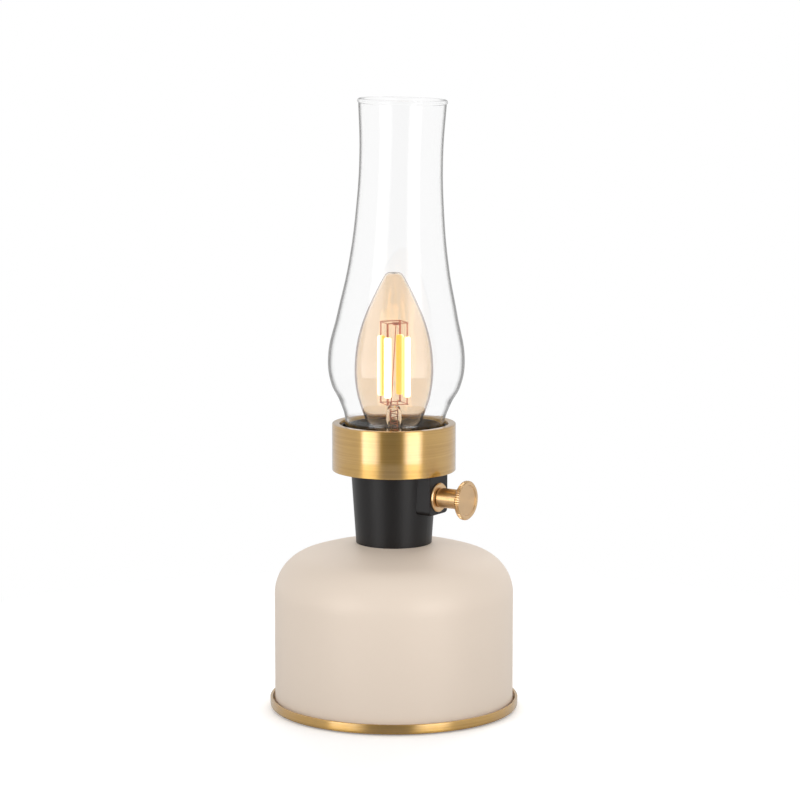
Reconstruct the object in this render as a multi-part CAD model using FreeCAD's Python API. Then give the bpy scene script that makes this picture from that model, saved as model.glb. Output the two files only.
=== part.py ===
"""Cordless lantern table lamp with a glass chimney, a candle bulb and a side dimmer knob, in millimetres.

+Z is up, the origin is the centre of the foot on the table, and the dimmer knob points along +X.
The stack from the table up: a pressed brass dish on a soft pad, a domed body shell round the
battery and its board, a tapered neck housing round the lampholder and the dimmer, a brass collar
lined by a black gallery cup, and the glass chimney that stands in the cup over the bulb.
A threaded tube through the middle pulls dish, ballast, shell and neck together.
"""
import FreeCAD, Part
import math
import os

Vector = FreeCAD.Vector

# Clearances
SLIP = 0.1   # between a piece and the hole or seat it slips into
RUN = 0.05   # radial, between the turning shaft and its bush
AIR = 0.3    # beside a piece that turns, lifts off or unscrews
OUTLINE = 0.05   # how closely the glass outlines follow their stations, as tangent arcs

# Foot pad and pressed dish
pad_r = 50.0
pad_thickness = 1.5
pad_drop = 0.5              # how far the pad stands below the dish
dish_wall = 1.2
dish_rim_height = 4.5       # above the underside of the dish
dish_edge_bend = 1.6        # outer radius of the bend between floor and rim
rim_gap = 1.0               # dark gap between the rim and the body shell

# Domed body shell
body_r = 52.8
body_wall = 1.2
shoulder_z = 51.3           # where the straight side ends
shoulder_r = 18.9           # radius of the shoulder's arc
crown_r = 133.0             # radius of the nearly flat crown
seat_margin = 0.3           # flat ring left round the foot of the neck

# Ballast plate and the screws that hold the dish under it
ballast_r = 48.0
ballast_thickness = 6.0
screw_count = 3
screw_circle_r = 30.0
screw_shank_r = 2.0
screw_head_r = 3.8
screw_head_height = 1.9
screw_length = 6.4

# Threaded tube and its nuts
tube_r = 5.0
tube_bore_r = 3.6
tube_grip = 8.0             # how far the tube screws into the lampholder
tube_window_height = 6.0    # slot where the leads leave the tube
nut_across_flats = 14.0
nut_height = 3.0

# Battery
cell_r = 9.2
cell_length = 65.0
cell_spacing = 33.0         # between the axes of the two cells
cell_forward = 8.0          # cells sit towards the knob, to leave room for the board
cradle_wall = 2.0
cradle_floor = 1.2
cradle_height = 8.0
cradle_channel = 10.0       # free width between the troughs

# Charging and control board
board_length = 20.0
board_width = 28.0
board_thickness = 1.6
board_reach = 48.6          # distance of the board's outer edge from the lamp's axis
standoff_r = 2.2
standoff_height = 3.5
standoff_inset = 3.0
chip_side = 7.0
chip_height = 1.2
coil_side = 6.0
coil_height = 3.0
plug_length = 4.0
plug_width = 7.0
plug_height = 5.0

# Charging inlet in the back of the shell
socket_width = 8.9
socket_height = 3.3
socket_depth = 7.4
socket_sheet = 0.3
tongue_width = 6.7
tongue_thickness = 0.7
bezel_width = 13.0
bezel_height = 7.4
bezel_flange = 1.6          # how far the inner flange laps the shell
bezel_flange_thickness = 1.1

# Neck housing
neck_foot_r = 16.7
neck_top_r = 18.9
neck_height = 32.3
neck_wall = 1.6
neck_floor = 3.0
neck_lip = 2.0
lead_hole_r = 2.6
lead_hole_x = 11.2

# Boss on the neck that carries the dimmer
boss_reach = 23.4
boss_width = 14.8
boss_corner_r = 2.0
boss_edge_r = 0.5
boss_below_axis = 7.6
knob_below_top = 10.15      # dimmer axis below the top of the neck

# Dimmer
dimmer_width = 9.5
dimmer_height = 11.0
dimmer_depth = 7.0
dimmer_wall = 1.0
rotor_r = 3.8
rotor_thickness = 1.5
shaft_r = 3.0
shaft_length = 17.0
bush_r = 3.5
escutcheon_r = 6.4
escutcheon_thickness = 0.8

# Knob
knob_stem_r = 4.35
knob_stem_length = 11.8
knob_r = 8.6
knob_thickness = 2.2
knob_face_r = 6.6
knob_face_recess = 0.25
knob_bevel = 0.7
knurl_count = 60
knurl_depth = 0.3

# Brass collar and black gallery cup
collar_r = 27.2
collar_height = 20.9
collar_wall = 3.3
collar_floor = 1.6
collar_chamfer = 0.35
cup_wall = 1.2
cup_floor = 1.5
cup_below_rim = 1.1

# Lampholder
holder_r = 13.5
holder_length = 38.0
holder_above_neck = 12.4    # how far it stands above the top of the neck
holder_bore_r = 8.0
holder_bore_depth = 23.0
shell_wall = 0.6
shell_length = 17.0
shell_below_rim = 2.0
spring_r = 2.4
spring_height = 2.4
ring_r = 18.0
ring_height = 3.0

# Chimney: (height above its seat, outer radius) where the outline changes character
chimney_play = 0.5          # between the chimney's foot and the cup
chimney_foot_height = 19.0
chimney_swell = [(27.0, 24.4), (34.9, 28.4), (46.1, 30.0)]
chimney_taper = [(65.7, 26.3), (86.9, 22.0), (113.3, 19.05), (136.3, 18.2)]
chimney_height = 159.7
chimney_mouth_r = 19.2
chimney_glass = 1.6
chimney_lean = 1.35         # degrees: the blown glass stands a little out of true on its foot
lean_heading = 33.0         # degrees from +X towards +Y

# Candle bulb: heights are above the bottom of its contact
cap_bottom = 4.2
cap_top = 23.6
cap_skirt = 3.0
cap_r = 6.95
cap_skirt_r = 7.6
cap_sheet = 0.5
contact_r = 2.9
contact_height = 3.0
insulator_bottom = 1.2
insulator_top = 6.0
envelope_bottom = 21.6
envelope_neck_r = 6.8
envelope_swell = [(28.2, 9.4), (42.5, 15.4), (57.1, 17.36)]
envelope_taper = [(77.0, 13.6), (85.0, 10.5), (94.6, 5.6)]
bulb_length = 98.6
envelope_glass = 0.8
stem_r = 3.4
stem_length = 16.0
stem_flare = 5.0

# Filament sticks and the wires that carry them
filament_count = 4
filament_circle_r = 6.2
filament_phase = 8.0        # degrees from +X to the first stick
filament_r = 0.9
filament_bottom = 41.1
filament_length = 30.0
wire_r = 0.3
crown_circle_r = 5.3
lower_ring_drop = 1.4       # lower wire ring, below the sticks
upper_ring_rise = 4.8       # upper wire ring, above the sticks

# Leads
lead_r = 0.5
lead_bend = 4.0
lead_spacing = 2.4
lead_crossing = 36.0        # height at which the dimmer's leads cross above the cells
lead_sweep = 4.0            # where they have cleared the tube

# Heights and radii that follow
dish_bottom = pad_drop
dish_land = dish_bottom + dish_wall                    # ring on which the shell stands
dish_panel = pad_thickness                             # underside of the raised middle
dish_top = dish_panel + dish_wall
dish_inner_r = body_r + rim_gap
dish_r = dish_inner_r + dish_wall
ballast_top = dish_top + ballast_thickness
crown_centre_z = shoulder_z - math.sqrt((crown_r - shoulder_r) ** 2 - (body_r - shoulder_r) ** 2)
seat_r = neck_foot_r + seat_margin
seat_z = crown_centre_z + math.sqrt(crown_r ** 2 - seat_r ** 2)
neck_top_z = seat_z + neck_height
knob_z = neck_top_z - knob_below_top
boss_bottom = knob_z - boss_below_axis
bush_end = boss_reach + escutcheon_thickness
dimmer_front = boss_reach - neck_wall - SLIP
dimmer_back = dimmer_front - dimmer_depth
knob_start = bush_end + AIR
collar_top = neck_top_z + collar_height
collar_inner_r = collar_r - collar_wall
cup_bottom = neck_top_z + collar_floor
cup_r = collar_inner_r - 2 * SLIP
cup_inner_r = cup_r - cup_wall
cup_top = collar_top - cup_below_rim
chimney_seat = cup_bottom + cup_floor
chimney_foot_r = cup_inner_r - chimney_play
holder_top = neck_top_z + holder_above_neck
holder_bottom = holder_top - holder_length
holder_floor = holder_top - holder_bore_depth
holder_hole_r = holder_r + SLIP
shell_inner_r = cap_r + AIR
bulb_z = holder_floor + spring_height
tube_top = holder_bottom + tube_grip
cells_z = ballast_top + cradle_floor + SLIP + cell_r
board_z = ballast_top + standoff_height
board_top = board_z + board_thickness
socket_z = board_top + socket_height / 2
lead_exit_z = board_top + plug_height / 2
lead_drop_x = holder_r + 2 * AIR + lead_r
lead_side = tube_r + lead_r + 2 * AIR


# Helpers

def solid_of_revolution(edges):
    """Closed outline of edges in the XZ plane, turned once about Z."""
    wire = Part.Wire(Part.__sortEdges__(edges))
    return Part.Face(wire).revolve(Vector(0, 0, 0), Vector(0, 0, 1), 360)


def corners(points):
    """Straight edges through (radius, height) points, as an open chain."""
    spots = [Vector(r, 0, z) for r, z in points]
    return [Part.makeLine(a, b) for a, b in zip(spots, spots[1:])]


def turned(points):
    """Turned solid whose outline has straight sides only."""
    return solid_of_revolution(corners(points + points[:1]))


def ring(outer, inner, bottom, top):
    return turned([(inner, bottom), (outer, bottom), (outer, top), (inner, top)])


def rod(start, end, radius):
    """Round bar between two points."""
    axis = end - start
    return Part.makeCylinder(radius, axis.Length, start, axis)


def post(radius, bottom, top, x=0.0, y=0.0):
    return Part.makeCylinder(radius, top - bottom, Vector(x, y, bottom))


def block(x0, x1, y0, y1, z0, z1):
    return Part.makeBox(x1 - x0, y1 - y0, z1 - z0, Vector(x0, y0, z0))


def along_x(shape):
    """Turns a shape made along Z onto the dimmer's axis, which runs along X at the height knob_z."""
    turned_shape = shape.copy()
    turned_shape.rotate(Vector(0, 0, 0), Vector(0, 1, 0), 90)
    turned_shape.translate(Vector(0, 0, knob_z))
    return turned_shape


def polar(radius, degrees, z):
    angle = math.radians(degrees)
    return Vector(radius * math.cos(angle), radius * math.sin(angle), z)


def smooth(points, start, end):
    """Tangent arcs through (radius, height) points that leave and arrive along the given directions."""
    curve = Part.BSplineCurve()
    spots = [Vector(r, 0, z) for r, z in points]
    curve.interpolate(Points=spots, InitialTangent=start, FinalTangent=end)
    return [arc.toShape() for arc in curve.toBiArcs(OUTLINE)]


def oval_bar(width, height, x0, x1, z):
    """Bar along X with a stadium section, width across Y."""
    half = (width - height) / 2
    bar = block(x0, x1, -half, half, z - height / 2, z + height / 2)
    for side in (-half, half):
        bar = bar.fuse(rod(Vector(x0, side, z), Vector(x1, side, z), height / 2))
    return bar.removeSplitter()


def lead(points):
    """Insulated lead through the points, with a round bend at each corner."""
    edges = []
    at = points[0]
    for corner, after in zip(points[1:-1], points[2:]):
        back = (at - corner).normalize()
        ahead = (after - corner).normalize()
        turn = math.pi - back.getAngle(ahead)
        trim = lead_bend * math.tan(turn / 2)
        arc_start = corner + back * trim
        arc_end = corner + ahead * trim
        bisector = (back + ahead).normalize()
        centre = corner + bisector * (lead_bend / math.cos(turn / 2))
        middle = centre - bisector * lead_bend
        edges.append(Part.makeLine(at, arc_start))
        edges.append(Part.Arc(arc_start, middle, arc_end).toShape())
        at = arc_end
    edges.append(Part.makeLine(at, points[-1]))
    start = Part.Circle(points[0], points[1] - points[0], lead_r).toShape()
    return Part.Wire(edges).makePipeShell([Part.Wire(start)], True, False)


# Foot and shell

def foot_pad():
    """Soft disc stuck into the recess under the dish: the only thing that touches the table."""
    return post(pad_r, 0, pad_thickness)


def base_dish():
    """Pressed dish: raised middle over the pad, a flat land for the shell and an upstanding rim."""
    step_r = pad_r + SLIP
    floor_r = body_r - body_wall - SLIP
    inner_bend = dish_edge_bend - dish_wall
    rim_top = dish_bottom + dish_rim_height
    bend = math.sqrt(0.5)
    outer_centre = dish_r - dish_edge_bend
    bend_z = dish_bottom + dish_edge_bend
    outer = Part.Arc(
        Vector(outer_centre, 0, dish_bottom),
        Vector(outer_centre + dish_edge_bend * bend, 0, bend_z - dish_edge_bend * bend),
        Vector(dish_r, 0, bend_z),
    ).toShape()
    inner = Part.Arc(
        Vector(outer_centre, 0, dish_land),
        Vector(outer_centre + inner_bend * bend, 0, bend_z - inner_bend * bend),
        Vector(dish_inner_r, 0, bend_z),
    ).toShape()
    under = corners([(tube_r + SLIP, dish_panel), (step_r, dish_panel), (step_r, dish_bottom),
                     (outer_centre, dish_bottom)])
    rim = corners([(dish_r, bend_z), (dish_r, rim_top), (dish_inner_r, rim_top), (dish_inner_r, bend_z)])
    upper = corners([(outer_centre, dish_land), (floor_r, dish_land), (floor_r, dish_top),
                     (tube_r + SLIP, dish_top), (tube_r + SLIP, dish_panel)])
    dish = solid_of_revolution(under + [outer] + rim + [inner] + upper)
    return dish.cut(screw_holes())


def screw_shape(spread):
    """Countersunk screw standing on its head at the origin, grown all round by spread."""
    head = Part.makeCone(screw_head_r + spread, screw_shank_r + spread, screw_head_height)
    shank = Part.makeCylinder(screw_shank_r + spread, screw_length)
    return head.fuse(shank)


def at_screws(shape):
    """Copies of a shape on the screw circle, on the underside of the raised middle of the dish."""
    copies = []
    for index in range(screw_count):
        copy = shape.copy()
        copy.translate(polar(screw_circle_r, index * 360 / screw_count, dish_panel))
        copies.append(copy)
    return copies


def screw_holes():
    return at_screws(screw_shape(SLIP))


def base_screws():
    return Part.makeCompound(at_screws(screw_shape(0)))


def ballast_plate():
    """Steel disc that keeps the tall lamp on its foot."""
    plate = ring(ballast_r, tube_r + SLIP, dish_top, ballast_top)
    return plate.cut(screw_holes())


def shell_profile(inset):
    """Outline of the dome, inset from the outer face: straight side, shoulder arc and crown arc."""
    shoulder = shoulder_r - inset
    crown = crown_r - inset
    shoulder_x = body_r - shoulder_r
    tangent = math.atan2(shoulder_z - crown_centre_z, shoulder_x)
    seat_height = seat_z - inset
    seat_edge = math.sqrt(crown ** 2 - (seat_height - crown_centre_z) ** 2)
    seat_angle = math.atan2(seat_height - crown_centre_z, seat_edge)

    def on_shoulder(angle):
        return Vector(shoulder_x + shoulder * math.cos(angle), 0, shoulder_z + shoulder * math.sin(angle))

    def on_crown(angle):
        return Vector(crown * math.cos(angle), 0, crown_centre_z + crown * math.sin(angle))

    return [
        Part.makeLine(Vector(body_r - inset, 0, dish_land), on_shoulder(0)),
        Part.Arc(on_shoulder(0), on_shoulder(tangent / 2), on_shoulder(tangent)).toShape(),
        Part.Arc(on_crown(tangent), on_crown((tangent + seat_angle) / 2), on_crown(seat_angle)).toShape(),
        Part.makeLine(on_crown(seat_angle), Vector(tube_r + SLIP, 0, seat_height)),
    ]


def body_shell():
    """Spun shell, open below, with a flat seat for the neck, holes for tube and leads and the inlet."""
    bore = tube_r + SLIP
    ends = corners([(body_r - body_wall, dish_land), (body_r, dish_land)])
    ends += corners([(bore, seat_z), (bore, seat_z - body_wall)])
    shell = solid_of_revolution(shell_profile(0) + shell_profile(body_wall) + ends)
    inlet = oval_bar(bezel_width + 2 * SLIP, bezel_height + 2 * SLIP, -dish_r, -ballast_r, socket_z)
    lead_hole = post(lead_hole_r, seat_z - 2 * body_wall, seat_z + body_wall, lead_hole_x)
    return shell.cut([inlet, lead_hole])


# Inside the shell

def centre_tube():
    """Threaded tube from the ballast to the lampholder, slotted where the leads come out."""
    tube = ring(tube_r, tube_bore_r, dish_top, tube_top)
    half = lead_spacing / 2 + lead_r + SLIP
    window = block(-2 * tube_r, 0, -half, half, lead_exit_z - tube_window_height / 2,
                   lead_exit_z + tube_window_height)
    return tube.cut(window)


def hex_nut(bottom):
    """Hexagon nut on the tube, with flats across Y."""
    corner_r = nut_across_flats / math.sqrt(3)
    outline = [polar(corner_r, 60 * index, bottom) for index in range(7)]
    nut = Part.Face(Part.makePolygon(outline)).extrude(Vector(0, 0, nut_height))
    return nut.cut(post(tube_r + SLIP, bottom, bottom + nut_height))


def tube_nuts():
    """One nut clamps the tube to the ballast, the other pulls the neck down on the shell."""
    return Part.makeCompound([hex_nut(ballast_top), hex_nut(seat_z + neck_floor)])


def cell_axes():
    return [-cell_spacing / 2, cell_spacing / 2]


def lying_bar(radius, length, y, z):
    """Round bar along X, centred where the cells are."""
    start = Vector(cell_forward - length / 2, y, z)
    return rod(start, start + Vector(length, 0, 0), radius)


def battery_cells():
    return Part.makeCompound([lying_bar(cell_r, cell_length, y, cells_z) for y in cell_axes()])


def battery_cradle():
    """Moulded tray with a trough for each cell and a channel between them for the tube and leads."""
    half_length = cell_length / 2 + SLIP + cradle_wall
    half_width = cell_spacing / 2 + cell_r + cradle_wall / 2
    tray = block(cell_forward - half_length, cell_forward + half_length, -half_width, half_width,
                 ballast_top, ballast_top + cradle_height)
    troughs = [lying_bar(cell_r + SLIP, cell_length + 2 * SLIP, y, cells_z) for y in cell_axes()]
    channel = block(cell_forward - half_length, cell_forward + half_length, -cradle_channel / 2,
                    cradle_channel / 2, ballast_top + cradle_floor, ballast_top + cradle_height)
    well = post(nut_across_flats / math.sqrt(3) + SLIP, ballast_top, ballast_top + cradle_height)
    return tray.cut(troughs + [channel, well])


def board_standoffs():
    """Four posts that hold the board above the ballast plate."""
    outer_x = -board_reach + standoff_inset
    inner_x = -board_reach + board_length - standoff_inset
    side = board_width / 2 - standoff_inset
    spots = [(x, y) for x in (outer_x, inner_x) for y in (-side, side)]
    return Part.makeCompound([post(standoff_r, ballast_top, board_z, x, y) for x, y in spots])


def control_board():
    """Charging and dimming board: plate, driver chip, two coils and the plug for the leads."""
    edge = -board_reach
    board = block(edge, edge + board_length, -board_width / 2, board_width / 2, board_z, board_top)
    middle = edge + socket_depth + chip_side / 2
    chip = block(middle - chip_side / 2, middle + chip_side / 2, -chip_side / 2, chip_side / 2,
                 board_top, board_top + chip_height)
    pieces = [chip]
    for side in (-1, 1):
        y = side * (board_width / 2 - coil_side)
        pieces.append(block(middle - coil_side / 2, middle + coil_side / 2, y - coil_side / 2,
                            y + coil_side / 2, board_top, board_top + coil_height))
    pieces.append(block(edge + board_length - plug_length, edge + board_length, -plug_width / 2,
                        plug_width / 2, board_top, board_top + plug_height))
    return board.fuse(pieces)


def charge_socket():
    """Charging receptacle on the edge of the board: oval sheet shell, back wall and contact tongue."""
    front = -(body_r - body_wall / 2)
    back = front + socket_depth
    shell = oval_bar(socket_width, socket_height, front, back, socket_z)
    inner = oval_bar(socket_width - 2 * socket_sheet, socket_height - 2 * socket_sheet, front,
                     back - socket_sheet, socket_z)
    tongue = block(front + socket_sheet, back - socket_sheet, -tongue_width / 2, tongue_width / 2,
                   socket_z - tongue_thickness / 2, socket_z + tongue_thickness / 2)
    return shell.cut(inner).fuse(tongue)


def inlet_bezel():
    """Soft bezel that closes the shell round the receptacle and laps it on the inside."""
    far = -dish_r
    near = -(body_r - body_wall - SLIP - bezel_flange_thickness)
    lap = 2 * bezel_flange
    plug = oval_bar(bezel_width, bezel_height, far, near, socket_z)
    flange = oval_bar(bezel_width + lap, bezel_height + lap, far, near, socket_z)
    above = dish_top
    below = socket_z + bezel_height + lap
    inside = ring(body_r - body_wall - SLIP, -near - bezel_flange_thickness, above, below)
    through = ring(body_r, -near - bezel_flange_thickness, above, below)
    bezel = plug.common(through).fuse(flange.common(inside))
    hole = oval_bar(socket_width + 2 * SLIP, socket_height + 2 * SLIP, far, 0, socket_z)
    floor = block(far, 0, -bezel_width, bezel_width, 0, ballast_top + SLIP)
    return bezel.cut([hole, floor])


# Neck, dimmer and knob

def neck_housing():
    """Tapered housing with a floor on the shell, a lip under the collar and the dimmer's boss."""
    cone = Part.makeCone(neck_foot_r, neck_top_r, neck_height, Vector(0, 0, seat_z))
    boss = rounded_boss()
    hollow_height = neck_height - neck_floor - neck_lip
    hollow = Part.makeCone(neck_foot_r - neck_wall, neck_top_r - neck_wall, hollow_height,
                           Vector(0, 0, seat_z + neck_floor))
    half = boss_width / 2 - neck_wall
    pocket = block(0, boss_reach - neck_wall, -half, half, boss_bottom + neck_wall,
                   neck_top_z - neck_lip)
    bush_hole = along_x(post(bush_r + SLIP, 0, dish_r))
    tube_hole = post(tube_r + SLIP, seat_z, neck_top_z)
    holder_hole = post(holder_hole_r, seat_z + neck_floor, neck_top_z)
    lead_hole = post(lead_hole_r, seat_z, seat_z + neck_floor, lead_hole_x)
    return cone.fuse(boss).cut([hollow, pocket, bush_hole, tube_hole, holder_hole, lead_hole])


def rounded_boss():
    """Block that stands out of the cone, with rounded lower corners and softened front edges."""
    boss = block(0, boss_reach, -boss_width / 2, boss_width / 2, boss_bottom, neck_top_z)
    low = [e for e in boss.Edges if e.BoundBox.ZMax < boss_bottom + SLIP and e.BoundBox.YLength < SLIP]
    boss = boss.makeFillet(boss_corner_r, low)
    front = [e for e in boss.Edges if e.BoundBox.XMin > boss_reach - SLIP
             and e.BoundBox.ZMin < neck_top_z - SLIP]
    return boss.makeFillet(boss_edge_r, front)


def dimmer_body():
    """Rotary dimmer: square can behind the boss and the bush that comes out through it."""
    can = block(dimmer_back, dimmer_front, -dimmer_width / 2, dimmer_width / 2,
                knob_z - dimmer_height / 2, knob_z + dimmer_height / 2)
    bush = along_x(post(bush_r, dimmer_front, bush_end))
    room = along_x(post(rotor_r + AIR, dimmer_back + dimmer_wall, dimmer_front - dimmer_wall))
    bore = along_x(post(shaft_r + RUN, dimmer_front - dimmer_wall, bush_end))
    return can.fuse(bush).cut([room, bore])


def dimmer_shaft():
    """Shaft that turns with the knob, with the wiper's rotor inside the can."""
    start = dimmer_back + dimmer_wall + AIR
    rotor = post(rotor_r, start, start + rotor_thickness)
    shaft = post(shaft_r, start, start + shaft_length)
    return along_x(rotor.fuse(shaft).removeSplitter())


def dimmer_escutcheon():
    """Round brass nut on the bush that clamps the dimmer to the boss."""
    half = escutcheon_thickness / 2
    outline = [(bush_r + SLIP, boss_reach), (escutcheon_r, boss_reach),
               (escutcheon_r, boss_reach + half), (escutcheon_r - half, bush_end),
               (bush_r + SLIP, bush_end)]
    return along_x(turned(outline))


def knurled_disc(start):
    """Disc with a straight knurl: a star outline with a ridge and a groove for each tooth."""
    step = 180 / knurl_count
    outline = []
    for index in range(2 * knurl_count + 1):
        radius = knob_r - knurl_depth * (index % 2)
        outline.append(polar(radius, index * step, start))
    return Part.Face(Part.makePolygon(outline)).extrude(Vector(0, 0, knob_thickness))


def knob():
    """Turned knob: round stem, knurled disc with bevelled edges, and a shallow dished face."""
    disc_start = knob_start + knob_stem_length
    disc_end = disc_start + knob_thickness
    bevel_r = knob_r - knob_bevel
    face_rim = knob_face_r + knob_face_recess
    body = turned([(0, knob_start), (knob_stem_r, knob_start), (knob_stem_r, disc_start),
                   (bevel_r, disc_start), (knob_r, disc_start + knob_bevel / 2),
                   (knob_r, disc_end - knob_bevel), (face_rim, disc_end),
                   (knob_face_r, disc_end - knob_face_recess), (0, disc_end - knob_face_recess)])
    outside = ring(2 * knob_r, knob_stem_r, disc_start, disc_end)
    body = body.cut(outside.cut(knurled_disc(disc_start)))
    shaft_end = dimmer_back + dimmer_wall + AIR + shaft_length
    bore = post(shaft_r + RUN, knob_start, shaft_end + SLIP)
    return along_x(body.cut(bore))


# Collar, cup and lampholder

def collar_ring():
    """Turned brass ring with a thick wall and a floor that rests on the neck."""
    edge = collar_chamfer
    return turned([(holder_hole_r, neck_top_z), (collar_r - edge, neck_top_z),
                   (collar_r, neck_top_z + edge), (collar_r, collar_top - edge),
                   (collar_r - edge, collar_top), (collar_inner_r + edge, collar_top),
                   (collar_inner_r, collar_top - edge), (collar_inner_r, cup_bottom),
                   (holder_hole_r, cup_bottom)])


def gallery_cup():
    """Black cup inside the collar that takes the foot of the chimney."""
    return turned([(holder_hole_r, cup_bottom), (cup_r, cup_bottom), (cup_r, cup_top),
                   (cup_inner_r, cup_top), (cup_inner_r, chimney_seat), (holder_hole_r, chimney_seat)])


def holder_ring():
    """Ring nut on the lampholder that clamps cup and collar down on the neck."""
    return ring(ring_r, holder_hole_r, chimney_seat, chimney_seat + ring_height)


def holder_body():
    """Lampholder: moulded barrel with the bulb's bore above and the tube's thread below."""
    barrel = post(holder_r, holder_bottom, holder_top)
    bore = post(holder_bore_r, holder_floor, holder_top)
    thread = post(tube_r + SLIP, holder_bottom, tube_top + SLIP)
    return barrel.cut([bore, thread])


def holder_shell():
    """Sheet sleeve in the lampholder's bore that carries the bulb's thread and the live return."""
    top = holder_top - shell_below_rim
    return ring(shell_inner_r + shell_wall, shell_inner_r, top - shell_length, top)


def holder_contact():
    """Centre contact on the floor of the bore: a stud with a wider foot."""
    foot = post(2 * spring_r, holder_floor, holder_floor + spring_height / 2)
    return foot.fuse(post(spring_r, holder_floor, holder_floor + spring_height))


# Chimney

def chimney_stations(inset):
    """Outline points of the glass, inset from its outer face, from the foot's shoulder to the mouth."""
    stations = [(chimney_foot_height, chimney_foot_r)] + chimney_swell + chimney_taper
    stations.append((chimney_height - chimney_glass / 2, chimney_mouth_r))
    return [(radius - inset, chimney_seat + height) for height, radius in stations]


def chimney_glass_piece():
    """Blown chimney with a straight foot, a swelling, a long throat and a fire-polished mouth."""
    up = Vector(0, 0, 1)
    outward = Vector(0.05, 0, 1)
    foot_inner_r = chimney_foot_r - chimney_glass
    foot_z = chimney_seat - chimney_glass
    outer = chimney_stations(0)
    inner = chimney_stations(chimney_glass)
    mouth = Part.Arc(
        Vector(outer[-1][0], 0, outer[-1][1]),
        Vector(outer[-1][0] - chimney_glass / 2, 0, chimney_seat + chimney_height),
        Vector(inner[-1][0], 0, inner[-1][1]),
    ).toShape()
    foot = corners([inner[0], (foot_inner_r, foot_z), (chimney_foot_r, foot_z), outer[0]])
    glass = solid_of_revolution(smooth(outer, up, outward) + [mouth] + smooth(inner, up, outward) + foot)
    tilt = polar(1, lean_heading + 90, 0)
    glass.rotate(Vector(0, 0, chimney_seat), tilt, chimney_lean)
    below = block(-collar_r, collar_r, -collar_r, collar_r, 0, chimney_seat)
    return glass.cut(below)


# Bulb

def bulb_spots(stations, inset):
    return [(radius - inset, bulb_z + height) for height, radius in stations]


def bulb_envelope():
    """Blown candle envelope, closed at its tip and open where the cap holds it."""
    up = Vector(0, 0, 1)
    inward = Vector(-1, 0, 0)
    waist = [(envelope_bottom, envelope_neck_r)] + envelope_swell + envelope_taper
    outer = bulb_spots(waist, 0) + [(0, bulb_z + bulb_length)]
    inner = bulb_spots(waist, envelope_glass) + [(0, bulb_z + bulb_length - envelope_glass)]
    ends = corners([outer[0], inner[0]]) + corners([outer[-1], inner[-1]])
    return solid_of_revolution(smooth(outer, up, inward) + smooth(inner, up, inward) + ends)


def bulb_stem():
    """Glass stem that closes the neck of the bulb and carries the wires."""
    bottom = bulb_z + envelope_bottom
    wide = envelope_neck_r - envelope_glass - SLIP
    top = bottom + stem_length
    return turned([(0, bottom), (wide, bottom), (wide, bottom + 1), (stem_r, bottom + stem_flare),
                   (stem_r, top - stem_r), (stem_r / 2, top), (0, top)])


def filament_angles():
    return [filament_phase + index * 360 / filament_count for index in range(filament_count)]


def bulb_filaments():
    """Straight coated sticks that glow, standing in a square."""
    bottom = bulb_z + filament_bottom
    sticks = []
    for angle in filament_angles():
        foot = polar(filament_circle_r, angle, bottom)
        sticks.append(rod(foot, foot + Vector(0, 0, filament_length), filament_r))
    return Part.makeCompound(sticks)


def wire_frame(ring_z, stick_z):
    """Square of wire inside the sticks, the legs that reach out to them and two spokes to the middle."""
    crown = [polar(crown_circle_r, angle, ring_z) for angle in filament_angles()]
    sticks = [polar(filament_circle_r, angle, stick_z) for angle in filament_angles()]
    middle = Vector(0, 0, ring_z)
    sides = [rod(a, b, wire_r) for a, b in zip(crown, crown[1:] + crown[:1])]
    legs = [rod(a, b, wire_r) for a, b in zip(crown, sticks)]
    spokes = [rod(corner, middle, wire_r) for corner in crown[::2]]
    return sides + legs + spokes


def bulb_wires():
    """The lower and upper wire frames and the middle rod that carries them up from the stem."""
    stick_bottom = bulb_z + filament_bottom
    stick_top = stick_bottom + filament_length
    upper = stick_top + upper_ring_rise
    middle = rod(Vector(0, 0, bulb_z + envelope_bottom + stem_length), Vector(0, 0, upper), wire_r)
    lower_frame = wire_frame(stick_bottom - lower_ring_drop, stick_bottom)
    upper_frame = wire_frame(upper, stick_top)
    return middle.fuse(lower_frame + upper_frame).cut(bulb_filaments())


def bulb_cap():
    """Sheet-metal screw cap: threaded sleeve with a wider skirt round the glass."""
    sleeve_top = cap_top - cap_skirt
    flare = cap_skirt_r - cap_r
    outline = [(cap_bottom, cap_r), (sleeve_top, cap_r), (sleeve_top + flare, cap_skirt_r),
               (cap_top, cap_skirt_r), (cap_top, cap_skirt_r - cap_sheet),
               (sleeve_top + flare, cap_skirt_r - cap_sheet), (sleeve_top, cap_r - cap_sheet),
               (cap_bottom, cap_r - cap_sheet)]
    return turned(bulb_spots(outline, 0))


def bulb_insulator():
    """Dark glass collar between the cap and the contact."""
    wide = cap_r - cap_sheet - SLIP
    narrow = contact_r + SLIP
    taper_top = insulator_bottom + wide - 1.4 * narrow
    return turned(bulb_spots([(insulator_bottom, narrow), (insulator_bottom, 1.4 * narrow),
                              (taper_top, wide), (insulator_top, wide), (insulator_top, narrow)], 0))


def bulb_contact():
    rounding = contact_r / 3
    return turned(bulb_spots([(0, 0), (0, contact_r - rounding), (rounding, contact_r),
                              (contact_height, contact_r), (contact_height, 0)], 0))


# Leads

def holder_leads():
    """Two leads from the lampholder down the tube, out at its slot and into the board's plug."""
    plug_x = -board_reach + board_length + SLIP
    leads = []
    for y in (-lead_spacing / 2, lead_spacing / 2):
        leads.append(lead([Vector(0, y, tube_top), Vector(0, y, lead_exit_z), Vector(plug_x, y, lead_exit_z)]))
    return Part.makeCompound(leads)


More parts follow.
